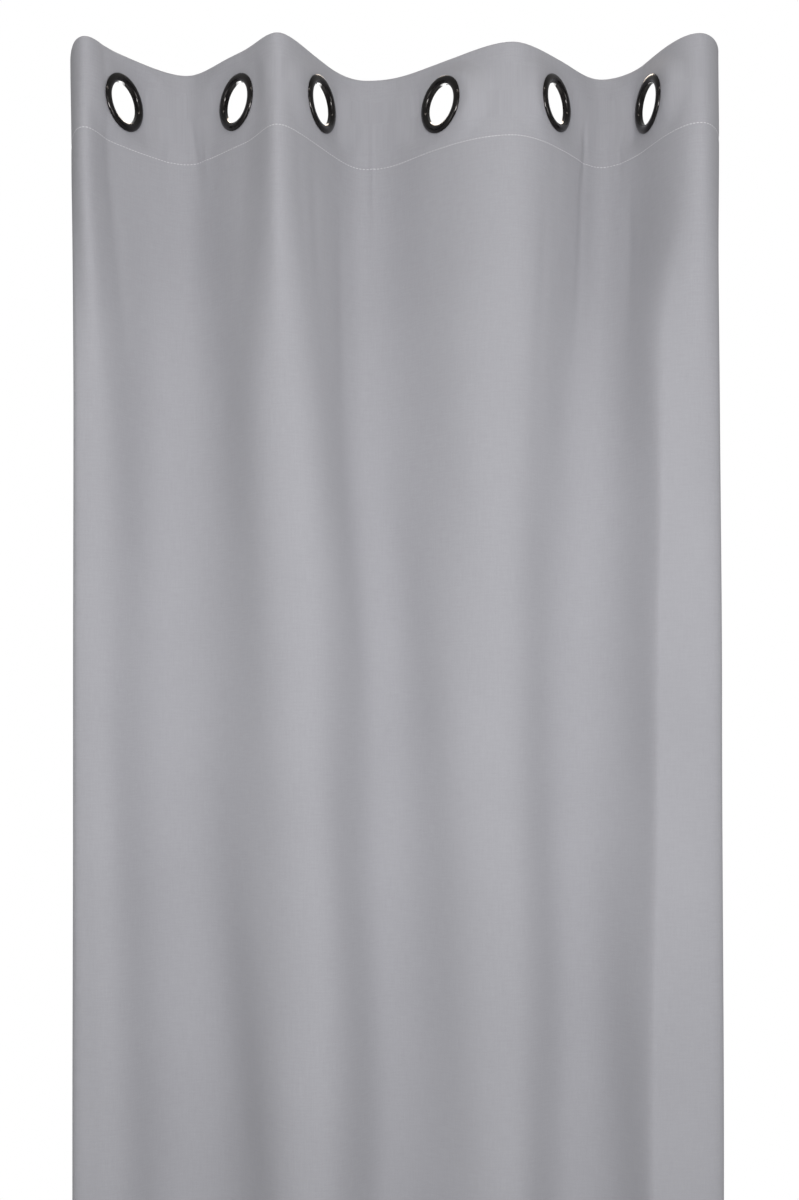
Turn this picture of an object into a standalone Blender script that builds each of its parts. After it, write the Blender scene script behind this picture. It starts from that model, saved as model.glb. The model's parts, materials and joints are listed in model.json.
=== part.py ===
"""Eyelet curtain panel, hung on a rod in seven soft folds.

One sheet of light grey cloth is hemmed on all four sides. The header is turned over a stiffening band, and six
metal eyelets are clenched through it. The panel is drawn along its rod like an accordion, so the cloth is laid
out as eight upright strips, hinged to each other at the ridge of every fold.

Metres. +X runs along the rod, +Y points to the back of the panel, +Z is up. The origin is on the rod's axis,
midway between the panel's two side edges.
"""

import math

import bmesh
import bpy
from mathutils import Vector

# Driving sizes
PANEL_LENGTH = 2.400
ROD_RADIUS = 0.008
HOLE_RADIUS = 0.0175
HEADER_ABOVE_EYELET = 0.040
HEADER_DEPTH = 0.078
BOTTOM_HEM_DEPTH = 0.080
SIDE_HEM_WIDTH = 0.025

# The rod carries the top of every eyelet's hole.
EYELET_Z = ROD_RADIUS - HOLE_RADIUS
TOP_Z = EYELET_Z + HEADER_ABOVE_EYELET
BOTTOM_Z = TOP_Z - PANEL_LENGTH
STITCH_Z = TOP_Z - HEADER_DEPTH
SPLIT_Z = STITCH_Z - 0.003

# Folds in plan: each eyelet is (place along the rod, angle of the cloth to the rod in degrees), and each fold is
# (place along the rod, distance behind the rod, roundness of its ridge). The folds in front are negative.
EYELETS = (
    (-0.2358, 60.0),
    (-0.1375, 50.0),
    (-0.0644, 64.0),
    (0.0400, 50.0),
    (0.1401, 56.0),
    (0.2210, 68.0),
)
FOLDS = (
    (-0.2623, -0.036, 0.50),
    (-0.1865, 0.030, 0.45),
    (-0.0988, -0.044, 0.35),
    (-0.0253, 0.035, 0.50),
    (0.1004, -0.029, 0.45),
    (0.1855, 0.037, 0.45),
    (0.2570, -0.042, 0.45),
)
LEFT_EDGE = (-0.2805, -0.001)
RIGHT_EDGE = (0.2768, -0.020)
EDGE_LEAN = (0.003, 0.022)
EDGE_ROUNDNESS = 0.55
FLAT_HALF = 0.026
CURVE_STEPS = 4

# Layers: how far behind the middle of the face cloth each one starts and ends.
CLOTH = (-0.0006, 0.0006)
INNER = (0.0009, 0.0019)
FACING = (0.0022, 0.0032)
THREAD = (-0.0013, -0.0009)
GAP = 0.0003
FOLD_HALF_ANGLE = 30.0

# Eyelet sections, each point as (distance from the eyelet's axis, distance behind the middle of the cloth).
RING_SECTION = (
    (0.0175, 0.0052),
    (0.0175, -0.0016),
    (0.0182, -0.0029),
    (0.0197, -0.0037),
    (0.0221, -0.0037),
    (0.0237, -0.0028),
    (0.0246, -0.0009),
    (0.0182, -0.0009),
    (0.0182, 0.0053),
    (0.0199, 0.0053),
    (0.0199, 0.0060),
    (0.0182, 0.0063),
)
WASHER_SECTION = (
    (0.0185, 0.0035),
    (0.0242, 0.0035),
    (0.0242, 0.0041),
    (0.0226, 0.0050),
    (0.0185, 0.0050),
)
RING_STEPS = 24
CLOTH_HOLE_RADIUS = 0.0188
CUTTER_DEPTH = 0.030

SHARP_ANGLE = 40.0

THREAD_HEIGHT = 0.0010
BAND_MARGIN = 0.002


def clear_scene():
    for old in list(bpy.data.objects):
        bpy.data.objects.remove(old)


def make_material(name, colour, roughness, metallic):
    made = bpy.data.materials.new(name)
    made.use_nodes = True
    shader = made.node_tree.nodes["Principled BSDF"]
    shader.inputs["Base Color"].default_value = (*colour, 1.0)
    shader.inputs["Roughness"].default_value = roughness
    shader.inputs["Metallic"].default_value = metallic
    return made


def bezier(start, lead_out, lead_in, end):
    """Points along a cubic curve, both ends included."""
    points = []
    for step in range(CURVE_STEPS + 1):
        t = step / CURVE_STEPS
        s = 1 - t
        points.append(s**3 * start + 3 * s * s * t * lead_out + 3 * s * t * t * lead_in + t**3 * end)
    return points


def eyelet_to_ridge(eyelet, fold, along):
    """From the edge of the flat cloth at an eyelet, round to a fold's ridge, where it runs along the rod."""
    place, angle = eyelet
    slope = math.radians(angle)
    across = math.copysign(1.0, fold[1])
    heading = Vector((along * math.cos(slope), across * math.sin(slope)))
    start = Vector((place, 0.0)) + FLAT_HALF * heading
    ridge = Vector(fold[:2])
    span = ridge - start
    reach = min(0.4 * span.length, 0.8 * abs(span.y) / math.sin(slope))
    lead_in = ridge - Vector((fold[2] * span.x, 0.0))
    return bezier(start, start + reach * heading, lead_in, ridge)


def fold_path(index):
    """Plan of one fold's side, from the ridge on its left to the ridge on its right."""
    left = eyelet_to_ridge(EYELETS[index], FOLDS[index], -1)
    right = eyelet_to_ridge(EYELETS[index], FOLDS[index + 1], 1)
    return left[::-1] + right


def edge_path(side):
    """Plan of a side edge, which curls back from the outermost ridge. side is -1 on the left, 1 on the right."""
    fold, end = (FOLDS[0], LEFT_EDGE) if side < 0 else (FOLDS[-1], RIGHT_EDGE)
    ridge = Vector(fold[:2])
    edge = Vector(end)
    lead_out = ridge + Vector((EDGE_ROUNDNESS * (edge.x - ridge.x), 0.0))
    lead_in = edge - Vector((side * EDGE_LEAN[0], EDGE_LEAN[1]))
    points = bezier(ridge, lead_out, lead_in, edge)
    return points if side > 0 else points[::-1]


def with_normals(path, ridge_first, ridge_last):
    """Pairs each point with its direction to the back, lengthened at corners to keep a layer's thickness."""
    pairs = []
    last = len(path) - 1
    for index, point in enumerate(path):
        run_in = (point - path[index - 1] if index else path[1] - point).normalized()
        run_out = (path[index + 1] - point).normalized() if index < last else run_in
        middle = (run_in + run_out).normalized()
        pairs.append((point, Vector((-middle.y, middle.x)) / middle.dot(run_in)))
    if ridge_first:
        pairs[0] = (path[0], Vector((0.0, 1.0)))
    if ridge_last:
        pairs[-1] = (path[-1], Vector((0.0, 1.0)))
    return pairs


def stretch_of(pairs, length):
    """The first stretch of a plan, of the given length."""
    kept = [pairs[0]]
    left = length
    for (start, first), (end, second) in zip(pairs, pairs[1:]):
        step = (end - start).length
        share = min(left / step, 1.0)
        kept.append((start.lerp(end, share), first.lerp(second, share)))
        left -= step
        if left <= 0:
            break
    return kept


def trimmed(row, low, high):
    """The stretch of a row that lies between two places along the rod, cut square to the rod."""
    kept = []
    for start, end in zip(row, row[1:]):
        for limit in (low, high):
            if start.x < limit <= end.x:
                kept.append(start.lerp(end, (limit - start.x) / (end.x - start.x)))
        if low < end.x < high:
            kept.append(end)
    if low < row[0].x:
        kept.insert(0, row[0])
    return kept


def ridge_gap(layer):
    """Half the gap that lets a layer fold at a ridge without meeting its neighbour."""
    reach = max(abs(layer[0]), abs(layer[1]))
    return GAP / 2 + reach * math.tan(math.radians(FOLD_HALF_ANGLE))


def add_wall(name, pairs, layer, heights, body, material):
    """An upright strip of one layer of cloth that follows a plan, trimmed at the ridges its body ends on."""
    low = body.ridges[0] + ridge_gap(layer)
    high = body.ridges[1] - ridge_gap(layer)
    front, back = [trimmed([p + d * depth for p, d in pairs], low, high) for depth in layer]
    bm = bmesh.new()
    outline = []
    for place in front + back[::-1]:
        local = place - body.home
        outline.append(bm.verts.new((local.x, local.y, heights[0])))
    bm.faces.new(outline)
    raised = bmesh.ops.extrude_face_region(bm, geom=bm.faces[:])
    moved = [item for item in raised["geom"] if isinstance(item, bmesh.types.BMVert)]
    bmesh.ops.translate(bm, verts=moved, vec=(0.0, 0.0, heights[1] - heights[0]))
    bmesh.ops.recalc_face_normals(bm, faces=bm.faces)
    mesh = bpy.data.meshes.new(name)
    bm.to_mesh(mesh)
    bm.free()
    mesh.materials.append(material)
    return body.hold(name, mesh)


def turned_mesh(name, section, material):
    """A ring turned about its own Y axis, which is the eyelet's axis."""
    bm = bmesh.new()
    ring = [bm.verts.new((radius, depth, 0.0)) for radius, depth in section]
    edges = [bm.edges.new((a, b)) for a, b in zip(ring, ring[1:] + ring[:1])]
    bmesh.ops.spin(
        bm,
        geom=ring + edges,
        cent=(0.0, 0.0, 0.0),
        axis=(0.0, 1.0, 0.0),
        angle=2 * math.pi,
        steps=RING_STEPS,
        use_merge=True,
    )
    bmesh.ops.recalc_face_normals(bm, faces=bm.faces)
    mesh = bpy.data.meshes.new(name)
    bm.to_mesh(mesh)
    bm.free()
    mesh.shade_smooth()
    mesh.set_sharp_from_angle(angle=math.radians(SHARP_ANGLE))
    mesh.materials.append(material)
    return mesh


class Body:
    """The pieces that move together. Its empty stands on the ridge where it is hinged to the body before it."""

    def __init__(self, name, home, ridges, before=None):
        self.name = name
        self.home = Vector(home)
        self.ridges = ridges
        self.empty = bpy.data.objects.new(f"hinge_{name}", None)
        self.empty.parent = before.empty if before else None
        offset = self.home - (before.home if before else Vector((0.0, 0.0)))
        self.empty.location = (offset.x, offset.y, 0.0)
        bpy.context.scene.collection.objects.link(self.empty)

    def hold(self, name, mesh, place=None, turn=0.0):
        """Adds a piece to the body. A mesh without a place has its points measured from the hinge."""
        made = bpy.data.objects.new(name, mesh)
        made.parent = self.empty
        if place:
            made.location = (place[0] - self.home.x, place[1] - self.home.y, place[2])
        made.rotation_euler = (0.0, 0.0, turn)
        bpy.context.scene.collection.objects.link(made)
        return made


def cloth_turn(index):
    """Angle of the cloth at an eyelet: backwards on the first side of a fold and forwards on the next."""
    return math.radians(EYELETS[index][1]) * (1 if index % 2 == 0 else -1)


def eyelet_place(index):
    return (EYELETS[index][0], 0.0, EYELET_Z)


def add_cutter(index):
    """The round hole through every layer at one eyelet."""
    bpy.ops.mesh.primitive_cylinder_add(
        vertices=RING_STEPS,
        radius=CLOTH_HOLE_RADIUS,
        depth=CUTTER_DEPTH,
        location=eyelet_place(index),
        rotation=(math.pi / 2, 0.0, cloth_turn(index)),
    )
    cutter = bpy.context.object
    cutter.name = f"hole_cutter_{index + 1}"
    cutter.hide_render = True
    cutter.display_type = "WIRE"
    return cutter


def cut(target, cutter):
    hole = target.modifiers.new("eyelet_hole", "BOOLEAN")
    hole.operation = "DIFFERENCE"
    hole.solver = "EXACT"
    hole.object = cutter


def add_cloth(body, pairs, hem_layer, materials):
    """Every layer of cloth that each body has. Returns those that an eyelet goes through."""
    header = (SPLIT_Z + GAP / 2, TOP_Z)
    drop = (BOTTOM_Z, SPLIT_Z - GAP / 2)
    hem = (BOTTOM_Z, BOTTOM_Z + BOTTOM_HEM_DEPTH)
    thread = (STITCH_Z - THREAD_HEIGHT / 2, STITCH_Z + THREAD_HEIGHT / 2)
    cloth = materials["cloth"]
    add_wall(f"cloth_drop_{body.name}", pairs, CLOTH, drop, body, cloth)
    add_wall(f"bottom_hem_{body.name}", pairs, hem_layer, hem, body, cloth)
    add_wall(f"header_stitch_{body.name}", pairs, THREAD, thread, body, materials["thread"])
    face = add_wall(f"header_face_{body.name}", pairs, CLOTH, header, body, cloth)
    facing = add_wall(f"header_facing_{body.name}", pairs, FACING, header, body, cloth)
    return face, facing


def add_fold(index, body, materials, ring_mesh, washer_mesh):
    """One side of a fold, with its eyelet clenched through the header."""
    pairs = with_normals(fold_path(index), True, True)
    face, facing = add_cloth(body, pairs, INNER, materials)
    heights = (STITCH_Z + BAND_MARGIN, TOP_Z - BAND_MARGIN)
    band = add_wall(f"header_band_{body.name}", pairs, INNER, heights, body, materials["band"])
    cutter = add_cutter(index)
    for layer in (face, band, facing):
        cut(layer, cutter)
    body.hold(f"eyelet_ring_{index + 1}", ring_mesh, eyelet_place(index), cloth_turn(index))
    body.hold(f"eyelet_washer_{index + 1}", washer_mesh, eyelet_place(index), cloth_turn(index))


def add_edge(side, body, materials):
    """A side edge: the cloth curls back from its ridge, and its hem is turned to the back under the header."""
    pairs = with_normals(edge_path(side), side > 0, side < 0)
    add_cloth(body, pairs, FACING, materials)
    hem = stretch_of(pairs if side < 0 else pairs[::-1], SIDE_HEM_WIDTH)
    hem = hem if side < 0 else hem[::-1]
    heights = (BOTTOM_Z + BAND_MARGIN, TOP_Z - BAND_MARGIN)
    add_wall(f"side_hem_{body.name}", hem, INNER, heights, body, materials["cloth"])


def build():
    clear_scene()
    materials = {
        "cloth": make_material("light_grey_cloth", (0.40, 0.39, 0.42), 0.90, 0.0),
        "band": make_material("white_band", (0.80, 0.80, 0.78), 0.95, 0.0),
        "thread": make_material("pale_thread", (0.70, 0.70, 0.71), 0.60, 0.0),
        "metal": make_material("gunmetal", (0.10, 0.095, 0.10), 0.22, 1.0),
    }
    ring_mesh = turned_mesh("eyelet_ring", RING_SECTION, materials["metal"])
    washer_mesh = turned_mesh("eyelet_washer", WASHER_SECTION, materials["metal"])
    places = [fold[0] for fold in FOLDS]
    body = Body("left_edge", (0.0, 0.0), (-math.inf, places[0]))
    add_edge(-1, body, materials)
    for index in range(len(EYELETS)):
        body = Body(f"fold_{index + 1}", FOLDS[index][:2], (places[index], places[index + 1]), body)
        add_fold(index, body, materials, ring_mesh, washer_mesh)
    body = Body("right_edge", FOLDS[-1][:2], (places[-1], math.inf), body)
    add_edge(1, body, materials)


build()
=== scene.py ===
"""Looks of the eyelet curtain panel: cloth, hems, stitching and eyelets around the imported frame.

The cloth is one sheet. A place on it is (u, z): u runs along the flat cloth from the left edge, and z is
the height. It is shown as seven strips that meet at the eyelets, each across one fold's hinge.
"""

import functools
import json
import math

import bpy
import numpy as np
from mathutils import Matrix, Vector

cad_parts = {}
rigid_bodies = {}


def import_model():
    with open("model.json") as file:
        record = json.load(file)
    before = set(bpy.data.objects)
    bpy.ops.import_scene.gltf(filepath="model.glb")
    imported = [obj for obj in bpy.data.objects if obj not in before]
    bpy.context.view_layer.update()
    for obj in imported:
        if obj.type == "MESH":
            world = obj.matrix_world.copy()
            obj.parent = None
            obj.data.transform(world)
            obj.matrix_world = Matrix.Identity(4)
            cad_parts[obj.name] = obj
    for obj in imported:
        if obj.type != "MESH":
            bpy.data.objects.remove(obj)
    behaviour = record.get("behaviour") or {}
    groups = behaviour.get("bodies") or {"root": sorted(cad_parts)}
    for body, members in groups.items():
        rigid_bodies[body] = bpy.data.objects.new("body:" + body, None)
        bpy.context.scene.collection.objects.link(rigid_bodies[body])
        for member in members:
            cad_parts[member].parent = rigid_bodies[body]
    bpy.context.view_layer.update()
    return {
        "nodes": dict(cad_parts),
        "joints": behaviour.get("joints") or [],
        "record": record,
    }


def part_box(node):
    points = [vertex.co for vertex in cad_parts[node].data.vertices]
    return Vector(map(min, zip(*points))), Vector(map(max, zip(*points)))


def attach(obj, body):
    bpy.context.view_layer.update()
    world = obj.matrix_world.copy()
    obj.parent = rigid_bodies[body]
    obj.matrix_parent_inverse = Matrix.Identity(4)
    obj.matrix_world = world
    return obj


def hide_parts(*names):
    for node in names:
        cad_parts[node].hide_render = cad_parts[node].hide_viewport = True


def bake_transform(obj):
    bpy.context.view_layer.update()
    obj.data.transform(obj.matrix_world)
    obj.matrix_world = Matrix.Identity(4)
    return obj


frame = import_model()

MM = 0.001
# Two places closer than this are the same
TINY = 1e-7

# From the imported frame: the cloth's heights, the ridges in plan, the bodies on each side of them, the eyelets
HEADER_DEPTH = 0.078
BOTTOM_HEM_DEPTH = 0.080
cloth_low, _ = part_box("cloth_drop_fold_1")
_, header_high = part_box("header_face_fold_1")
TOP_Z = header_high.z
BOTTOM_Z = cloth_low.z
STITCH_Z = TOP_Z - HEADER_DEPTH
RIDGES = np.array([joint["pos_m"][:2] for joint in frame["joints"]])
BODY_PAIRS = [(joint["parent"], joint["child"]) for joint in frame["joints"]]
ROD_BOXES = [opening["box_m"] for opening in frame["record"]["physics"]["openings"]]
EYELET_X = [(low[0] + high[0]) / 2 for low, high in ROD_BOXES]
EYELET_Z = (ROD_BOXES[0][0][2] + ROD_BOXES[0][1][2]) / 2

# Cloth in plan where the eyelets hold it: slope at each eyelet, and how round each ridge is
HELD_SLOPES = (60.0, 47.0, 64.0, 48.0, 54.5, 74.0)
HELD_ROUNDNESS = (0.50, 0.45, 0.40, 0.50, 0.45, 0.45, 0.45)
HELD_FLAT_HALF = 0.026
HELD_OFFSETS = (-0.0005, -0.0010, 0.0025, 0.0030, 0.0005, 0.0020)
# The ring holds the cloth this near the eyelet's middle and lets it go beyond. Heights count this much more
HELD_WITHIN = 0.030
FREE_BEYOND = 0.058
HELD_TALL = 1.40
# Cloth in plan along the header's top edge and its stitching, where it hangs in gentler folds
FREE_SLOPES = (45.0, 40.0, 58.5, 36.0, 43.5, 66.0)
FREE_ROUNDNESS = (0.38, 0.30, 0.31, 0.42, 0.30, 0.34, 0.42)
FREE_FLAT_HALF = 0.006
TOP_OFFSETS = (-0.0024, -0.0048, 0.0068, 0.0095, 0.0016, 0.0072)
TOP_DEPTHS = (-0.0340, 0.0320, -0.0395, 0.0405, -0.0250, 0.0385, -0.0385)
STITCH_OFFSETS = (0.0006, 0.0000, 0.0022, 0.0030, 0.0008, 0.0014)
STITCH_DEPTHS = (-0.0365, 0.0355, -0.0410, 0.0450, -0.0220, 0.0410, -0.0440)
# Side edges in plan: where they hang, how far they lean out as they curl back, and how round the curl is at
# the outermost ridge and at the edge
TOP_EDGES = (np.array((-0.2832, 0.0040)), np.array((0.2783, -0.0120)))
STITCH_EDGES = (np.array((-0.2818, 0.0020)), np.array((0.2784, -0.0140)))
EDGE_LEAN = 0.25
EDGE_ROUNDNESS = 0.45
EDGE_CURL = 0.5
# How far the cloth keeps an eyelet's slope: a share of the way to the ridge, up to a share of its depth
SLOPE_KEPT = 0.4
SLOPE_KEPT_MOST = 0.8

# The drop in plan at five heights: (height, left edge's front corner, ridges, right edge's front corner)
SETTLE_FROM = -0.0535
SETTLE_FULL = -0.30
SETTLE_LEVEL = (SETTLE_FROM, -0.2727, tuple(zip(RIDGES[:, 0], STITCH_DEPTHS)), 0.2741)
HIGH_LEVEL = (-0.22, -0.2738, (
    (-0.262, -0.034), (-0.186, 0.021), (-0.092, -0.035), (-0.022, 0.025),
    (0.095, -0.025), (0.173, 0.016), (0.229, -0.033)), 0.2779)
MIDDLE_LEVEL = (-0.53, -0.2750, (
    (-0.262, -0.030), (-0.184, 0.010), (-0.079, -0.034), (-0.013, 0.010),
    (0.084, -0.028), (0.163, 0.007), (0.224, -0.036)), 0.2793)
LOW_LEVEL = (-0.92, -0.2757, (
    (-0.255, -0.032), (-0.172, 0.017), (-0.069, -0.042), (-0.001, 0.014),
    (0.097, -0.030), (0.158, 0.008), (0.219, -0.040)), 0.2800)
HEM_LEVEL = (BOTTOM_Z, -0.2745, (
    (-0.258, -0.036), (-0.180, 0.024), (-0.085, -0.042), (-0.008, 0.024),
    (0.097, -0.032), (0.170, 0.021), (0.238, -0.041)), 0.2790)
# How round each side of a fold is at its two ridges
FOLD_HANDLES = ((0.45, 0.60), (0.48, 0.46), (0.52, 0.42), (0.36, 0.50), (0.46, 0.48), (0.60, 0.18))
# The last fold's ridge is rounder near the header and firm from here down
LAST_RIDGE_ROUND = 0.50
LAST_RIDGE_FIRM_FROM = 0.08
LAST_RIDGE_FIRM = 0.42
# The side edges of the drop turn back by this much, round a corner as square as this
EDGE_RETURN = 0.022
EDGE_SQUARENESS = 4.0

# Cloth and its layers, measured from the middle of the face cloth to the back
CLOTH_THICKNESS = 0.5 * MM
SIDE_HEM_AT = 0.8 * MM
TURNED_BACK_AT = 0.62 * MM
OVER_BAND_AT = 1.00 * MM
OVER_BAND_AND_HEM = 0.50 * MM
TOP_ROLL_DEPTH = 1.7 * MM
TOP_BEND = 0.85 * MM
BOTTOM_BEND = 0.6 * MM
# The header's back layer rises over the stiffening band this near the stitching and falls this near the top
BAND_RISE = (-0.5 * MM, 9 * MM)
BAND_FALL = 14 * MM
FACING_BELOW_STITCHING = 3 * MM
# Side hems: their width, how far past it the layers over them settle, and how far they stay inside the edges
SIDE_HEM_WIDTH = 0.025
SIDE_HEM_EASE = (1.0 * MM, 7.0 * MM)
SIDE_HEM_FROM_EDGE = 0.5 * MM
SIDE_HEM_FROM_BOTTOM = 3 * MM
SIDE_HEM_FROM_TOP = 5 * MM
# Spacing of the sheet's columns and rows: coarse in the drop, closer near the header and closest in it
COLUMN_STEP = 1.6 * MM
HEADER_ROW_STEP = 2.2 * MM
NEAR_ROW_STEP = 5 * MM
DROP_ROW_STEP = 11 * MM
HEM_ROW_STEP = 8 * MM
FINE_BELOW_STITCHING = 8 * MM
NEAR_STRETCH = 0.10
SIDE_HEM_COLUMNS = 9
SIDE_HEM_ROW_STEP = 4 * MM
# The side hems take their weave from another stretch of the cloth
SIDE_HEM_WEAVE_SHIFT = 4.0
HOLE_RADIUS = 20.2 * MM
# Points this near to a hole's edge are drawn onto its circle
HOLE_SNAP = 6 * MM


# ---------------------------------------------------------------- the cloth in plan


def smooth(x, low, high):
    """0 before low, 1 after high, and a soft step between them."""
    t = np.clip((x - low) / (high - low), 0, 1)
    return t * t * (3 - 2 * t)


def bezier(a, b, c, d, steps=28):
    """A cubic curve from a to d, led by b and c."""
    t = np.linspace(0, 1, steps + 1)[:, None]
    s = 1 - t
    return s**3 * a + 3 * s * s * t * b + 3 * s * t * t * c + t**3 * d


def along(points):
    """Distance run at each point of a line."""
    steps = np.hypot(*np.diff(points, axis=0).T)
    return np.concatenate([[0.0], np.cumsum(steps)])


def eyelet_to_ridge(eyelet, slope, flat_half, ridge, roundness, side):
    """The cloth's line from just beside an eyelet to the ridge on that side of it."""
    heading = np.array((side * math.cos(slope), math.copysign(math.sin(slope), ridge[1] - eyelet[1])))
    start = eyelet + flat_half * heading
    span = ridge - start
    reach = min(SLOPE_KEPT * np.hypot(*span), SLOPE_KEPT_MOST * abs(span[1]) / math.sin(slope))
    return bezier(start, start + reach * heading, ridge - np.array((roundness * span[0], 0.0)), ridge)


def edge_line(ridge, edge, side):
    """The cloth's line from an outermost ridge to the side edge, which curls back."""
    depth = edge[1] - ridge[1]
    lead_out = ridge + np.array((EDGE_ROUNDNESS * (edge[0] - ridge[0]), 0.0))
    lead_in = edge - EDGE_CURL * depth * np.array((side * EDGE_LEAN, 1.0))
    return bezier(ridge, lead_out, lead_in, edge)


def header_plan(slopes, flat_half, roundness, offsets, depths, edges):
    """The header's line in plan, its running length, and that length at the edges, ridges and eyelets."""
    ridges = [np.array((place[0], depth)) for place, depth in zip(RIDGES, depths)]
    pieces = [edge_line(ridges[0], edges[0], -1)[::-1]]
    knots = [0.0, along(pieces[0])[-1]]
    for index, (place, slope) in enumerate(zip(EYELET_X, np.radians(slopes))):
        eyelet = np.array((place, offsets[index]))
        left = eyelet_to_ridge(eyelet, slope, flat_half, ridges[index], roundness[index], -1)[::-1]
        right = eyelet_to_ridge(eyelet, slope, flat_half, ridges[index + 1], roundness[index + 1], 1)
        knots.append(knots[-1] + along(left)[-1] + flat_half)
        knots.append(knots[-1] + flat_half + along(right)[-1])
        pieces += [left[1:], right]
    pieces.append(edge_line(ridges[-1], edges[1], 1)[1:])
    line = np.vstack(pieces)
    keep = np.concatenate([[True], np.hypot(*np.diff(line, axis=0).T) > TINY])
    line = line[keep]
    run = along(line)
    return line, run, np.array(knots + [run[-1]])


HELD_LINE, HELD_U, KNOTS_U = header_plan(
    HELD_SLOPES, HELD_FLAT_HALF, HELD_ROUNDNESS, HELD_OFFSETS, RIDGES[:, 1], TOP_EDGES)
WIDTH = KNOTS_U[-1]
RIDGE_U = KNOTS_U[1:-1:2]
EYELET_U = KNOTS_U[2:-1:2]


def free_plan(offsets, depths, edges):
    """A gentler line of the header, with its eyelets and ridges at the same places of the flat cloth."""
    line, run, knots = header_plan(FREE_SLOPES, FREE_FLAT_HALF, FREE_ROUNDNESS, offsets, depths, edges)
    return line, np.interp(run, knots, KNOTS_U)


TOP_LINE, TOP_U = free_plan(TOP_OFFSETS, TOP_DEPTHS, TOP_EDGES)
STITCH_LINE, STITCH_U = free_plan(STITCH_OFFSETS, STITCH_DEPTHS, STITCH_EDGES)


def on_line(u, line_u, line):
    """The places in plan where a line has the running lengths u."""
    return np.stack([np.interp(u, line_u, line[:, k]) for k in (0, 1)], axis=-1)


def in_header(u, z):
    """Where the header's cloth is in plan at places (u, z): steep at the eyelets, gentler beyond them."""
    rise = smooth(z, STITCH_Z, TOP_Z)[..., None]
    free = on_line(u, STITCH_U, STITCH_LINE) * (1 - rise) + on_line(u, TOP_U, TOP_LINE) * rise
    nearest = EYELET_U[np.argmin(np.abs(u[..., None] - EYELET_U), axis=-1)]
    held = 1 - smooth(np.hypot(u - nearest, HELD_TALL * (z - EYELET_Z)), HELD_WITHIN, FREE_BEYOND)
    return free + (on_line(u, HELD_U, HELD_LINE) - free) * held[..., None]


def side_of_fold(start, end, handles):
    """A soft S from one ridge to the next."""
    run = np.array((end[0] - start[0], 0.0))
    return bezier(start, start + handles[0] * run, end - handles[1] * run, end, steps=24)


def side_edge(ridge, corner):
    """From an outermost ridge out to a side edge of the drop, which turns back round a firm corner."""
    turn = np.linspace(0, math.pi / 2, 25)
    across = np.sin(turn) ** (2 / EDGE_SQUARENESS)
    behind = 1 - np.maximum(np.cos(turn), 0) ** (2 / EDGE_SQUARENESS)
    return ridge + np.stack([across * (corner - ridge[0]), behind * EDGE_RETURN], axis=-1)


# The drop's levels from the top down, as (height, values): both corners and then the ridges
DROP_LEVELS = [
    (height, np.array((left, right, *np.ravel(ridges))))
    for height, left, ridges, right in (SETTLE_LEVEL, HIGH_LEVEL, MIDDLE_LEVEL, LOW_LEVEL, HEM_LEVEL)]


@functools.lru_cache(maxsize=None)
def drop_plan(z):
    """The plan of the cloth below the header at one height: soft folds whose ridges wander as they fall."""
    heights_down = [-height for height, _ in DROP_LEVELS]
    above = min(max(int(np.searchsorted(heights_down, -z)) - 1, 0), len(DROP_LEVELS) - 2)
    share = smooth(-z, heights_down[above], heights_down[above + 1])
    values = DROP_LEVELS[above][1] * (1 - share) + DROP_LEVELS[above + 1][1] * share
    ridges = values[2:].reshape(-1, 2)
    firm = float(smooth(-z, LAST_RIDGE_FIRM_FROM, LAST_RIDGE_FIRM))
    last_start, last_end = FOLD_HANDLES[-1]
    last_fold = (last_start, LAST_RIDGE_ROUND + (last_end - LAST_RIDGE_ROUND) * firm)
    pieces = [side_edge(ridges[0], values[0])[::-1]]
    for index, handles in enumerate((*FOLD_HANDLES[:-1], last_fold)):
        pieces.append(side_of_fold(ridges[index], ridges[index + 1], handles)[1:])
    pieces.append(side_edge(ridges[-1], values[1])[1:])
    line = np.vstack(pieces)
    run = along(line)
    return line, run * (WIDTH / run[-1])


def in_plan(u, level, z):
    """Where the middle of the face cloth is in plan, for a row of places u at heights z.

    level is the height whose folds the whole row follows.
    """
    share = float(smooth(-level, -SETTLE_FROM, -SETTLE_FULL))
    if share == 0.0:
        return in_header(u, z)
    line, run = drop_plan(round(float(level), 5))
    drop = on_line(u, run, line)
    return drop if share == 1.0 else in_header(u, z) * (1 - share) + drop * share


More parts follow.
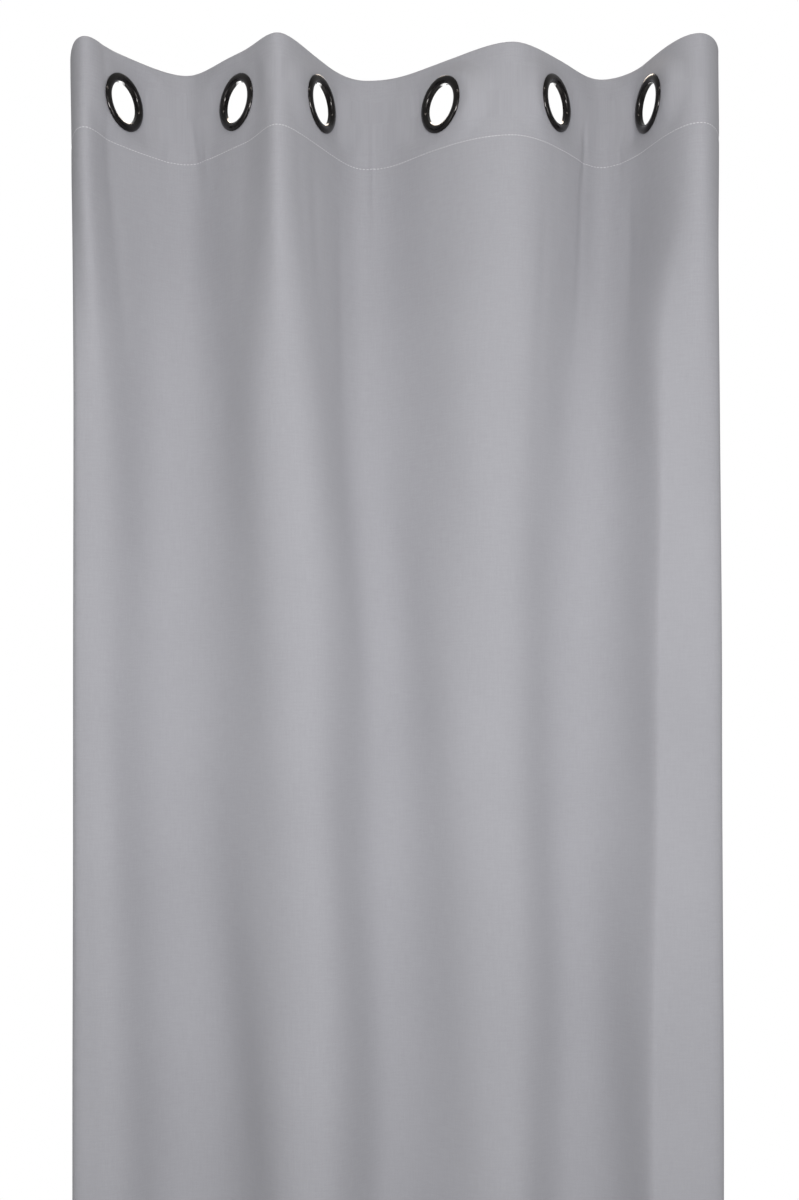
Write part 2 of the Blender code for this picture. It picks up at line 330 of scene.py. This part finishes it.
# Creases: (u, top, bottom, lean of u down the cloth, half-width at the top, height towards the back)
CREASES = (
    (EYELET_U[0] - 0.0300, TOP_Z + 0.080, -0.300, 0.030, 3.4 * MM, 0.8 * MM),
    (RIDGE_U[1] + 0.0020, 0.000, -0.090, 0.014, 1.8 * MM, 0.9 * MM),
    (RIDGE_U[1] + 0.0180, -0.012, -0.090, 0.006, 2.0 * MM, -0.7 * MM),
    (RIDGE_U[1] - 0.0150, -0.008, -0.090, -0.008, 2.4 * MM, 0.7 * MM),
    (RIDGE_U[3] + 0.0045, 0.020, -0.150, 0.001, 1.1 * MM, -1.2 * MM),
    (RIDGE_U[5] - 0.0160, 0.000, -0.090, -0.006, 1.8 * MM, 1.5 * MM),
    (RIDGE_U[5] + 0.0165, -0.008, -0.090, 0.004, 2.0 * MM, 0.9 * MM),
    (RIDGE_U[2] + 0.0210, -0.020, -0.260, 0.020, 4.6 * MM, 0.6 * MM),
    (RIDGE_U[2] + 0.0460, -0.040, -0.260, 0.008, 5.4 * MM, 0.8 * MM),
    (RIDGE_U[5] - 0.0230, -0.030, -0.280, 0.000, 3.4 * MM, 1.2 * MM),
    (RIDGE_U[5] + 0.0290, -0.030, -0.300, 0.004, 4.6 * MM, 1.0 * MM),
    (RIDGE_U[3] - 0.0300, -0.040, -0.420, 0.000, 5.0 * MM, 0.8 * MM),
    (RIDGE_U[4] + 0.0360, -0.040, -0.420, 0.006, 5.0 * MM, 0.7 * MM),
)
# Down its length a crease widens by this much, and it is highest at this share of it
CREASE_SPREAD = 1.6
CREASE_PEAK = 0.35
# Slow unevenness of the hanging cloth: (waves across the cloth, waves in a metre down, phase, height)
SWELLS = (
    (3.0, 0.8, 0.4, 1.2 * MM),
    (5.0, 1.3, 2.1, 0.9 * MM),
    (9.0, 1.9, 4.0, 0.5 * MM),
    (7.0, 3.1, 1.2, 0.4 * MM),
)
# The swells grow over these distances below the rod's line and inside the side edges
SWELL_BELOW = (0.06, 0.40)
SWELL_INSIDE = (0.01, 0.07)
STITCH_DIP = 0.35 * MM
STITCH_DIP_HALF = 1.6 * MM


def unevenness(u, z):
    """How far the cloth stands back from its plain folds: creases, swells and the dip along the stitching."""
    total = np.zeros_like(u)
    for at, top, bottom, lean, half, height in CREASES:
        share = np.clip((top - z) / (top - bottom), 0, 1)
        fade = smooth(share, 0, CREASE_PEAK) * (1 - smooth(share, CREASE_PEAK, 1))
        width = half * (1 + CREASE_SPREAD * share)
        total += height * fade * np.exp(-(((u - at - lean * share) / width) ** 2))
    loose = smooth(-z, *SWELL_BELOW) * smooth(u, *SWELL_INSIDE) * smooth(WIDTH - u, *SWELL_INSIDE)
    for across, down, phase, height in SWELLS:
        wave = np.sin(2 * np.pi * (across * u / WIDTH + down * z) + phase)
        total += loose * height * wave
    total += STITCH_DIP * np.exp(-(((z - STITCH_Z) / STITCH_DIP_HALF) ** 2))
    return total


def cloth_points(u, z, depth, rows=None):
    """Points of the cloth at places (u, z), a depth behind the middle of the face cloth, and the way back.

    rows holds the height whose plan each row of the grid follows; z is the height itself.
    """
    rows = z[:, 0] if rows is None else rows
    points = np.zeros(u.shape + (3,))
    back = np.zeros(u.shape + (3,))
    reach = 0.4 * MM
    for row, level in enumerate(rows):
        here = in_plan(u[row], level, z[row])
        ahead = in_plan(u[row] + reach, level, z[row]) - in_plan(u[row] - reach, level, z[row])
        ahead /= np.maximum(np.hypot(ahead[:, 0], ahead[:, 1]), TINY)[:, None]
        back[row, :, 0] = -ahead[:, 1]
        back[row, :, 1] = ahead[:, 0]
        points[row, :, :2] = here
    points[..., 2] = z
    shift = unevenness(u, z) + depth
    return points + back * shift[..., None], back


# ---------------------------------------------------------------- meshes


def new_object(name, vertices, faces, material, uv=None, angle=50.0):
    """A smooth mesh object, with edges sharper than the angle left sharp."""
    mesh = bpy.data.meshes.new(name)
    mesh.from_pydata([tuple(v) for v in vertices], [], [tuple(f) for f in faces])
    if uv is not None:
        layer = mesh.uv_layers.new(name="cloth")
        corners = np.zeros(len(mesh.loops), dtype=np.int32)
        mesh.loops.foreach_get("vertex_index", corners)
        layer.data.foreach_set("uv", np.asarray(uv, float)[corners].astype(np.float32).ravel())
    mesh.shade_smooth()
    mesh.set_sharp_from_angle(angle=math.radians(angle))
    mesh.materials.append(material)
    mesh.validate()
    made = bpy.data.objects.new(name, mesh)
    bpy.context.scene.collection.objects.link(made)
    return made


def thick_sheet(name, middle, away, uv, keep, thickness, material):
    """A closed sheet of a given thickness about a grid of points. keep says which of its faces exist."""
    rows, columns = middle.shape[:2]
    count = rows * columns
    half = away * (thickness / 2)
    vertices = np.concatenate([(middle - half).reshape(-1, 3), (middle + half).reshape(-1, 3)])
    faces = []
    number = np.arange(count).reshape(rows, columns)
    for row in range(rows - 1):
        for column in range(columns - 1):
            if keep[row, column]:
                a, b = number[row, column], number[row, column + 1]
                d, c = number[row + 1, column], number[row + 1, column + 1]
                faces.append((a, b, c, d))
                faces.append((d + count, c + count, b + count, a + count))
    padded = np.zeros((rows + 1, columns + 1), bool)
    padded[1:-1, 1:-1] = keep
    for row in range(rows):
        for column in range(columns):
            here = number[row, column]
            if column < columns - 1 and padded[row, column + 1] != padded[row + 1, column + 1]:
                there = number[row, column + 1]
                side = (there, here, here + count, there + count)
                faces.append(side if padded[row + 1, column + 1] else side[::-1])
            if row < rows - 1 and padded[row + 1, column] != padded[row + 1, column + 1]:
                there = number[row + 1, column]
                side = (here, there, there + count, here + count)
                faces.append(side if padded[row + 1, column + 1] else side[::-1])
    used = np.unique(np.array([i for face in faces for i in face]))
    place = np.full(2 * count, -1)
    place[used] = np.arange(len(used))
    faces = [[place[i] for i in face] for face in faces]
    flat = uv.reshape(-1, 2)
    both = np.concatenate([flat, flat])
    return new_object(name, vertices[used], faces, material, both[used])


def heights(low, high, step):
    """Even places from low to high, about a step apart."""
    count = max(1, round((high - low) / step))
    return np.linspace(low, high, count + 1)


def column_places(strip):
    """Places along the cloth of a strip's columns, from one eyelet's middle to the next one's."""
    bounds = [0.0, *EYELET_U, WIDTH]
    return heights(bounds[strip], bounds[strip + 1], COLUMN_STEP)


def hems_near(u):
    """1 over a side hem, 0 away from it."""
    inner, outer = (SIDE_HEM_WIDTH + ease for ease in SIDE_HEM_EASE)
    return 1 - smooth(u, inner, outer) * smooth(WIDTH - u, inner, outer)


def turned_back_depth(u):
    """How far behind the face cloth a turned-back layer lies, twice as far over a side hem."""
    return TURNED_BACK_AT * (1 + hems_near(u))


def facing_depth(u, z):
    """How far behind the face cloth the header's back layer lies, over the band and in at the stitching."""
    rise, full = BAND_RISE
    near_top = smooth(z, TOP_Z - BAND_FALL, TOP_Z)
    puff = smooth(z, STITCH_Z + rise, STITCH_Z + full) * (1 - near_top)
    seam = turned_back_depth(u)
    over_band = OVER_BAND_AT + OVER_BAND_AND_HEM * hems_near(u)
    return seam + (over_band - seam) * puff + (TOP_ROLL_DEPTH - seam) * near_top


def hem_rows(columns):
    """Rows of the bottom hem's back layer, from its upper edge down, and round the cloth's lower edge."""
    depth = turned_back_depth(columns)
    rows = []
    for z in heights(BOTTOM_Z + 2 * BOTTOM_BEND, BOTTOM_Z + BOTTOM_HEM_DEPTH, HEM_ROW_STEP)[::-1]:
        rows.append((z, np.full_like(columns, z), depth, -90.0))
    for turn in (-120.0, -150.0, 180.0, 150.0, 120.0):
        swing = math.radians(turn)
        edge = BOTTOM_Z + BOTTOM_BEND * (1 - abs(math.cos(swing)))
        rows.append((BOTTOM_Z, np.full_like(columns, edge), depth * (1 - math.sin(swing)) / 2, turn))
    return rows


def top_rows(columns):
    """Rows round the header's top edge, from the face to the back."""
    depth = facing_depth(columns, np.full_like(columns, TOP_Z))
    rows = []
    for turn in (60.0, 30.0, 0.0, -30.0, -60.0):
        swing = math.radians(turn)
        edge = TOP_Z - TOP_BEND + TOP_BEND * math.cos(swing)
        rows.append((TOP_Z, np.full_like(columns, edge), depth * (1 - math.sin(swing)) / 2, turn))
    return rows


def strip_rows(columns):
    """Rows of the whole sheet: down the bottom hem's back, up the face, over the top and down the facing.

    Each is (height whose folds it follows, heights, depths behind the face cloth, turn). The turn is 90
    where the sheet's second face looks to the back, 0 where it looks down and -90 where it looks forward.
    """
    fine_from = STITCH_Z - FINE_BELOW_STITCHING
    drop = heights(BOTTOM_Z + 2 * BOTTOM_BEND, fine_from - NEAR_STRETCH, DROP_ROW_STEP)
    near = heights(fine_from - NEAR_STRETCH, fine_from, NEAR_ROW_STEP)[1:]
    head = heights(fine_from, TOP_Z - TOP_BEND, HEADER_ROW_STEP)[1:]
    rows = hem_rows(columns)
    for z in np.concatenate([drop, near, head]):
        rows.append((z, np.full_like(columns, z), np.zeros_like(columns), 90.0))
    rows += top_rows(columns)
    for z in head[::-1]:
        if z > STITCH_Z - FACING_BELOW_STITCHING:
            level = np.full_like(columns, z)
            rows.append((z, level, facing_depth(columns, level), -90.0))
    return rows


def cut_holes(u, z):
    """The grid with the points at the eyelets' holes drawn onto circles, and which of its faces are left."""
    keep = np.ones((u.shape[0] - 1, u.shape[1] - 1), bool)
    for eyelet in EYELET_U:
        centre_u = (u[:-1, :-1] + u[1:, 1:]) / 2
        centre_z = (z[:-1, :-1] + z[1:, 1:]) / 2
        keep &= np.hypot(centre_u - eyelet, centre_z - EYELET_Z) > HOLE_RADIUS
    gone = np.zeros((u.shape[0] + 1, u.shape[1] + 1), bool)
    gone[1:-1, 1:-1] = ~keep
    rim = gone[:-1, :-1] | gone[1:, :-1] | gone[:-1, 1:] | gone[1:, 1:]
    for eyelet in EYELET_U:
        run_u, run_z = u - eyelet, z - EYELET_Z
        radius = np.hypot(run_u, run_z)
        drawn = rim & (radius < HOLE_RADIUS + HOLE_SNAP) & (radius > TINY)
        grow = np.where(drawn, HOLE_RADIUS / np.maximum(radius, TINY), 1.0)
        u = eyelet + run_u * grow
        z = EYELET_Z + run_z * grow
    return u, z, keep


def build_strip(strip, material):
    """One strip of the sheet, with its bottom hem and its turned-over header in one piece."""
    columns = column_places(strip)
    rows = strip_rows(columns)
    plan_rows, z, depth, turns = (np.array(values) for values in zip(*rows))
    turns = np.radians(turns)
    u, z, keep = cut_holes(np.tile(columns, (len(rows), 1)), z)
    middle, back = cloth_points(u, z, depth, plan_rows)
    away = back * np.sin(turns)[:, None, None]
    away[..., 2] -= np.cos(turns)[:, None]
    length = np.concatenate([[0], np.cumsum(np.hypot(np.diff(z[:, 0]), np.diff(depth[:, 0])))])
    uv = np.stack([u, np.tile(length[:, None], (1, len(columns)))], axis=-1)
    return thick_sheet(f"curtain_cloth_{strip + 1}", middle, away, uv, keep, CLOTH_THICKNESS, material)


def build_side_hem(side, material):
    """The folded layer behind a side edge: side is -1 at the left and 1 at the right."""
    columns = np.linspace(SIDE_HEM_FROM_EDGE, SIDE_HEM_WIDTH, SIDE_HEM_COLUMNS)
    columns = columns if side < 0 else (WIDTH - columns)[::-1]
    near_header = STITCH_Z - NEAR_STRETCH
    drop = heights(BOTTOM_Z + SIDE_HEM_FROM_BOTTOM, near_header, DROP_ROW_STEP)
    head = heights(near_header, TOP_Z - SIDE_HEM_FROM_TOP, SIDE_HEM_ROW_STEP)[1:]
    rows = np.concatenate([drop, head])
    u, z = np.meshgrid(columns, rows)
    middle, back = cloth_points(u, z, np.full_like(u, SIDE_HEM_AT))
    keep = np.ones((len(rows) - 1, len(columns) - 1), bool)
    name = "side_hem_left" if side < 0 else "side_hem_right"
    uv = np.stack([u, z + SIDE_HEM_WEAVE_SHIFT], axis=-1)
    return thick_sheet(name, middle, back, uv, keep, CLOTH_THICKNESS, material)


# ---------------------------------------------------------------- stitching

STITCH_PITCH = 3.1 * MM
STITCH_LENGTH = 2.5 * MM
THREAD_RADIUS = 0.34 * MM
THREAD_FLATNESS = 0.8
THREAD_SIDES = 6
# How far the thread lies before and behind the face cloth's middle, and how far rows stay from the edges
THREAD_IN_FRONT = CLOTH_THICKNESS / 2 + 0.10 * MM
THREAD_BEHIND = 1.2 * MM
STITCH_FROM_SIDE = 2 * MM
STITCH_FROM_HEM_EDGE = 2.5 * MM
# A stitch's own shape along its length: places, thickness, and how far it sinks into the cloth
STATIONS = np.array((-0.5, -0.38, 0.0, 0.38, 0.5))
GIRTH = (0.35, 0.85, 1.0, 0.85, 0.35)
SINK = np.array((0.30, 0.10, 0.0, 0.10, 0.30)) * MM


def stitch_row(places, level, depth):
    """Vertices and faces of machine stitches at places along the cloth, all at one height and depth."""
    vertices, faces = [], []
    outward = -1.0 if depth < 0 else 1.0
    last = (len(STATIONS) - 1) * THREAD_SIDES
    for place in places:
        u = (place + STATIONS * STITCH_LENGTH)[None, :]
        middle, back = cloth_points(u, np.full_like(u, level), np.full_like(u, depth) - outward * SINK)
        first = len(vertices)
        for station, girth in enumerate(GIRTH):
            for side in range(THREAD_SIDES):
                angle = 2 * math.pi * side / THREAD_SIDES
                across = back[0, station] * math.cos(angle) * THREAD_FLATNESS
                across = across + np.array((0.0, 0.0, math.sin(angle)))
                vertices.append(middle[0, station] + across * THREAD_RADIUS * girth)
        for station in range(len(STATIONS) - 1):
            for side in range(THREAD_SIDES):
                a = first + station * THREAD_SIDES + side
                b = first + station * THREAD_SIDES + (side + 1) % THREAD_SIDES
                faces.append((a, b, b + THREAD_SIDES, a + THREAD_SIDES))
        faces.append(tuple(first + side for side in range(THREAD_SIDES))[::-1])
        faces.append(tuple(first + last + side for side in range(THREAD_SIDES)))
    return vertices, faces


def build_stitches(strip, name, level, material):
    """A strip's share of a row of stitching, on both faces of the cloth."""
    bounds = [STITCH_FROM_SIDE, *EYELET_U, WIDTH - STITCH_FROM_SIDE]
    places = np.arange(STITCH_PITCH, WIDTH, STITCH_PITCH)
    places = places[(places > bounds[strip]) & (places <= bounds[strip + 1])]
    vertices, faces = stitch_row(places, level, -THREAD_IN_FRONT)
    more, extra = stitch_row(places, level, THREAD_BEHIND)
    faces += [tuple(i + len(vertices) for i in face) for face in extra]
    return new_object(f"{name}_{strip + 1}", vertices + more, faces, material)


# ---------------------------------------------------------------- eyelets


def turned(name, section, material, steps=96):
    """A closed ring turned about its own Y axis from a section of (radius, depth) points."""
    count = len(section)
    vertices, faces = [], []
    for step in range(steps):
        angle = 2 * math.pi * step / steps
        for radius, depth in section:
            vertices.append((radius * math.cos(angle), depth, radius * math.sin(angle)))
    for step in range(steps):
        following = (step + 1) % steps
        for point in range(count):
            ahead = (point + 1) % count
            faces.append((step * count + point, step * count + ahead,
                          following * count + ahead, following * count + point))
    return new_object(name, vertices, faces, material, angle=32.0)


def arc(centre, half_sizes, start, end, steps):
    """Points round an oval in (radius, depth), from one angle to another."""
    points = []
    for step in range(steps + 1):
        angle = math.radians(start + (end - start) * step / steps)
        radius = centre[0] + half_sizes[0] * math.cos(angle)
        points.append((radius, centre[1] + half_sizes[1] * math.sin(angle)))
    return points


def in_metres(section):
    """A section drawn in millimetres, in the scene's metres."""
    return [(radius * MM, depth * MM) for radius, depth in section]


def ring_section():
    """The front of an eyelet: a domed lip and the barrel through the cloth, rolled over behind the washer."""
    lip = arc((20.4, -0.7), (3.5, 2.3), 180.0, 360.0, steps=18)
    rolled = arc((17.95, 2.55), (0.85, 0.35), -80.0, 170.0, steps=10)
    return in_metres(lip + [(23.5, -0.55), (17.55, -0.55), (17.55, 2.3)] + rolled + [(16.95, 2.2)])


def washer_section():
    """The back of an eyelet: a domed washer round the barrel."""
    dome = arc((21.0, 1.5), (2.7, 1.0), 0.0, 180.0, steps=12)
    return in_metres(dome + [(18.3, 1.3), (23.7, 1.3)])


def build_eyelets(material):
    """All the eyelets' pieces, each with its number and its kind."""
    made = []
    for index, x in enumerate(EYELET_X):
        turn = math.radians(HELD_SLOPES[index]) * (1 if index % 2 == 0 else -1)
        for kind, section in (("eyelet_front", ring_section()), ("eyelet_back", washer_section())):
            piece = turned(f"{kind}_{index + 1}", section, material)
            piece.location = (x, HELD_OFFSETS[index], EYELET_Z)
            piece.rotation_euler = (0.0, 0.0, turn)
            made.append((piece, index, kind))
    return made


# ---------------------------------------------------------------- materials


WEAVE_PITCH = 0.55 * MM


class Nodes:
    """A small helper that adds nodes to a material and links them."""

    def __init__(self, name):
        self.material = bpy.data.materials.new(name)
        self.material.use_nodes = True
        self.tree = self.material.node_tree
        self.shader = self.tree.nodes["Principled BSDF"]

    def add(self, kind, **settings):
        """A new node with these settings. inputs maps its inputs to values or to (node, output)."""
        node = self.tree.nodes.new(kind)
        inputs = settings.pop("inputs", {})
        for key, value in settings.items():
            setattr(node, key, value)
        for key, value in inputs.items():
            self.feed(node, key, value)
        return node

    def feed(self, node, key, value):
        """Set an input of a node, or link it when the value is (node, output)."""
        if isinstance(value, tuple) and isinstance(value[0], bpy.types.Node):
            self.tree.links.new(value[0].outputs[value[1]], node.inputs[key])
        else:
            node.inputs[key].default_value = value

    def math(self, operation, a, b=0.0):
        return self.add("ShaderNodeMath", operation=operation, inputs={0: a, 1: b})


def cloth_material(name, dark, light):
    """A close plain weave, with faint slubs both ways and a soft sheen."""
    n = Nodes(name)
    uv = n.add("ShaderNodeUVMap", uv_map="cloth")
    apart = n.add("ShaderNodeSeparateXYZ", inputs={0: (uv, 0)})
    wave = 2 * math.pi / WEAVE_PITCH
    warp = n.math("SINE", (n.math("MULTIPLY", (apart, 0), wave), 0))
    weft = n.math("SINE", (n.math("MULTIPLY", (apart, 1), wave), 0))
    weave = n.math("MULTIPLY", (warp, 0), (weft, 0))
    down = n.add("ShaderNodeMapping", inputs={0: (uv, 0), "Scale": (900.0, 60.0, 1.0)})
    slub_down = n.add("ShaderNodeTexNoise", inputs={0: (down, 0), "Scale": 1.0, "Detail": 2.0})
    across = n.add("ShaderNodeMapping", inputs={0: (uv, 0), "Scale": (60.0, 800.0, 1.0)})
    slub_across = n.add("ShaderNodeTexNoise", inputs={0: (across, 0), "Scale": 1.0, "Detail": 2.0})
    mottle = n.add("ShaderNodeTexNoise", inputs={0: (uv, 0), "Scale": 620.0, "Detail": 3.0})
    broad = n.add("ShaderNodeTexNoise", inputs={0: (uv, 0), "Scale": 7.0, "Detail": 2.0})
    threads = n.math("ADD", (slub_down, 0), (slub_across, 0))
    total = n.math("ADD", (threads, 0), (n.math("ADD", (mottle, 0), (broad, 0)), 0))
    ramp = n.add("ShaderNodeMapRange", inputs={0: (total, 0), 1: 1.4, 2: 2.6, 3: 0.0, 4: 1.0})
    tint = n.add("ShaderNodeMix", data_type="RGBA", inputs={0: (ramp, 0), 6: (*dark, 1.0), 7: (*light, 1.0)})
    n.feed(n.shader, "Base Color", (tint, 2))
    relief = n.math("ADD", (n.math("MULTIPLY", (weave, 0), 0.35), 0), (threads, 0))
    bump = n.add("ShaderNodeBump", inputs={"Strength": 0.35, "Distance": 0.10 * MM, "Height": (relief, 0)})
    n.feed(n.shader, "Normal", (bump, 0))
    rough = n.add("ShaderNodeMapRange", inputs={0: (mottle, 0), 1: 0.3, 2: 0.7, 3: 0.80, 4: 0.94})
    n.feed(n.shader, "Roughness", (rough, 0))
    n.shader.inputs["Sheen Weight"].default_value = 0.10
    n.shader.inputs["Sheen Roughness"].default_value = 0.6
    n.shader.inputs["Specular IOR Level"].default_value = 0.15
    return n.material


def thread_material():
    """Matt pale polyester thread."""
    n = Nodes("pale_thread")
    place = n.add("ShaderNodeTexCoord")
    noise = n.add("ShaderNodeTexNoise", inputs={0: (place, 3), "Scale": 1800.0, "Detail": 2.0})
    tint = n.add("ShaderNodeMix", data_type="RGBA",
                 inputs={0: (noise, 0), 6: (0.54, 0.54, 0.56, 1.0), 7: (0.76, 0.76, 0.77, 1.0)})
    n.feed(n.shader, "Base Color", (tint, 2))
    n.shader.inputs["Roughness"].default_value = 0.6
    n.shader.inputs["Sheen Weight"].default_value = 0.2
    return n.material


def metal_material():
    """Dark polished metal, slightly uneven in colour and gloss."""
    n = Nodes("gunmetal")
    place = n.add("ShaderNodeTexCoord")
    noise = n.add("ShaderNodeTexNoise", inputs={0: (place, 3), "Scale": 160.0, "Detail": 4.0})
    tint = n.add("ShaderNodeMix", data_type="RGBA",
                 inputs={0: (noise, 0), 6: (0.012, 0.011, 0.011, 1.0), 7: (0.034, 0.030, 0.028, 1.0)})
    n.feed(n.shader, "Base Color", (tint, 2))
    rough = n.add("ShaderNodeMapRange", inputs={0: (noise, 0), 1: 0.3, 2: 0.7, 3: 0.10, 4: 0.20})
    n.feed(n.shader, "Roughness", (rough, 0))
    n.shader.inputs["Metallic"].default_value = 1.0
    n.shader.inputs["Coat Weight"].default_value = 0.5
    n.shader.inputs["Coat Roughness"].default_value = 0.10
    return n.material


# ---------------------------------------------------------------- the studio


def plain_material(name, colour, roughness):
    """One even colour."""
    n = Nodes(name)
    n.shader.inputs["Base Color"].default_value = (*colour, 1.0)
    n.shader.inputs["Roughness"].default_value = roughness
    n.shader.inputs["Specular IOR Level"].default_value = 0.1
    return n.material


def build_floor():
    """A pale floor just below the hem."""
    half = 2.9
    low = BOTTOM_Z - 4 * MM
    vertices = [(-half, -half, low), (half, -half, low), (half, half, low), (-half, half, low)]
    material = plain_material("pale_floor", (0.86, 0.86, 0.86), 0.9)
    floor = new_object("floor", vertices, [(0, 1, 2, 3)], material)


WORLD_LIGHT = 0.333
WHITE = (1.0, 1.0, 1.0)
FOLDS_MIDDLE = (0.0, 0.0, -0.52)
EYELETS_MIDDLE = (0.0, 0.0, EYELET_Z)
# Softboxes: (name, place, aimed at, width, height, watts, colour)
SOFTBOXES = (
    ("front_softbox", (0.05, -1.25, -0.43), FOLDS_MIDDLE, 0.5, 0.35, 9.7, WHITE),
    ("upper_softbox", (0.10, -1.30, 0.00), (0.0, 0.0, -0.20), 0.9, 0.4, 1.1, WHITE),
    ("right_softbox", (1.20, -1.10, -0.54), FOLDS_MIDDLE, 0.6, 0.6, 3.1, WHITE),
    ("left_softbox", (-1.20, -1.10, -0.50), FOLDS_MIDDLE, 0.6, 0.8, 1.7, WHITE),
    ("back_softbox", (-0.40, 2.40, -0.60), (0.0, 0.0, -1.0), 1.6, 1.8, 34.0, WHITE),
    ("eyelet_strip", (0.0, -0.75, 0.60), EYELETS_MIDDLE, 1.1, 0.04, 1.1, (1.0, 0.93, 0.86)),
    ("left_strip", (-0.95, -0.95, -0.10), EYELETS_MIDDLE, 0.05, 1.1, 0.4, WHITE),
    ("right_strip", (0.95, -0.95, -0.10), EYELETS_MIDDLE, 0.05, 1.1, 0.4, WHITE),
    ("rim_softbox", (0.0, 0.80, 0.85), EYELETS_MIDDLE, 0.7, 0.5, 6.0, (1.0, 0.86, 0.72)),
)


def add_light(name, place, target, width, height, watts, colour):
    """A softbox aimed at the target, which the camera doesn't see."""
    lamp = bpy.data.lights.new(name, "AREA")
    lamp.shape = "RECTANGLE"
    lamp.size = width
    lamp.size_y = height
    lamp.energy = watts
    lamp.color = colour
    made = bpy.data.objects.new(name, lamp)
    made.location = place
    made.rotation_euler = (Vector(target) - Vector(place)).to_track_quat("-Z", "Y").to_euler()
    made.visible_camera = False
    bpy.context.scene.collection.objects.link(made)


def build_world(light_share):
    """A white surround that lights the object with a share of its white, so softboxes shape the folds."""
    world = bpy.data.worlds.new("studio")
    world.use_nodes = True
    tree = world.node_tree
    seen = tree.nodes["Background"]
    seen.inputs[0].default_value = (1.0, 1.0, 1.0, 1.0)
    lighting = tree.nodes.new("ShaderNodeBackground")
    lighting.inputs[0].default_value = (1.0, 1.0, 1.0, 1.0)
    lighting.inputs[1].default_value = light_share
    path = tree.nodes.new("ShaderNodeLightPath")
    mix = tree.nodes.new("ShaderNodeMixShader")
    tree.links.new(path.outputs["Is Camera Ray"], mix.inputs[0])
    tree.links.new(lighting.outputs[0], mix.inputs[1])
    tree.links.new(seen.outputs[0], mix.inputs[2])
    tree.links.new(mix.outputs[0], tree.nodes["World Output"].inputs[0])
    bpy.context.scene.world = world


def build_studio():
    bpy.context.scene.view_settings.view_transform = "Standard"
    build_world(light_share=WORLD_LIGHT)
    for softbox in SOFTBOXES:
        add_light(*softbox)
    build_floor()


def build_camera():
    """A level camera in front of the panel's upper half, with the frame raised by a lens shift."""
    camera = bpy.data.cameras.new("camera")
    camera.sensor_fit = "VERTICAL"
    camera.sensor_height = 36.0
    camera.lens = 41.16
    camera.shift_y = 0.15
    camera.clip_start = 0.05
    made = bpy.data.objects.new("camera", camera)
    made.location = (0.0039, -1.19364, -0.5985)
    made.rotation_euler = (math.pi / 2, 0.0, 0.0)
    bpy.context.scene.collection.objects.link(made)
    bpy.context.scene.camera = made


# ---------------------------------------------------------------- put together


def bend(piece):
    """Bakes the piece's transform into its mesh."""
    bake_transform(piece)


def nodes_of(strip, kinds):
    """The CAD nodes of these kinds that a strip stands for: a body's nodes belong to the strip before it."""
    bodies = [BODY_PAIRS[strip][1]] + ([BODY_PAIRS[0][0]] if strip == 0 else [])
    names = [f"{kind}_{body}" for kind in kinds for body in bodies]
    return [name for name in names if name in frame["nodes"]]


def build_object():
    cloth = cloth_material("light_grey_cloth", (0.340, 0.339, 0.364), (0.384, 0.383, 0.411))
    thread = thread_material()
    metal = metal_material()
    hem_stitch_z = BOTTOM_Z + BOTTOM_HEM_DEPTH - STITCH_FROM_HEM_EDGE
    hems = {0: build_side_hem(-1, cloth), len(BODY_PAIRS) - 1: build_side_hem(1, cloth)}
    for strip in range(len(BODY_PAIRS)):
        sheet = build_strip(strip, cloth)
        seam = build_stitches(strip, "header_stitching", STITCH_Z, thread)
        hem_seam = build_stitches(strip, "hem_stitching", hem_stitch_z, thread)
        with_it = [seam, hem_seam]
        if strip in hems:
            with_it.append(hems[strip])
            side = "left_edge" if strip == 0 else "right_edge"
            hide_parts(f"side_hem_{side}")
        for piece in [sheet, *with_it]:
            bend(piece)
        kinds = ("cloth_drop", "header_face", "header_facing", "bottom_hem", "header_band")
        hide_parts(*nodes_of(strip, kinds))
        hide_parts(*nodes_of(strip, ("header_stitch",)))
    for piece, index, kind in build_eyelets(metal):
        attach(piece, f"fold_{index + 1}")
        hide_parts(f"eyelet_{'ring' if kind == 'eyelet_front' else 'washer'}_{index + 1}")


build_camera()
build_studio()
build_object()
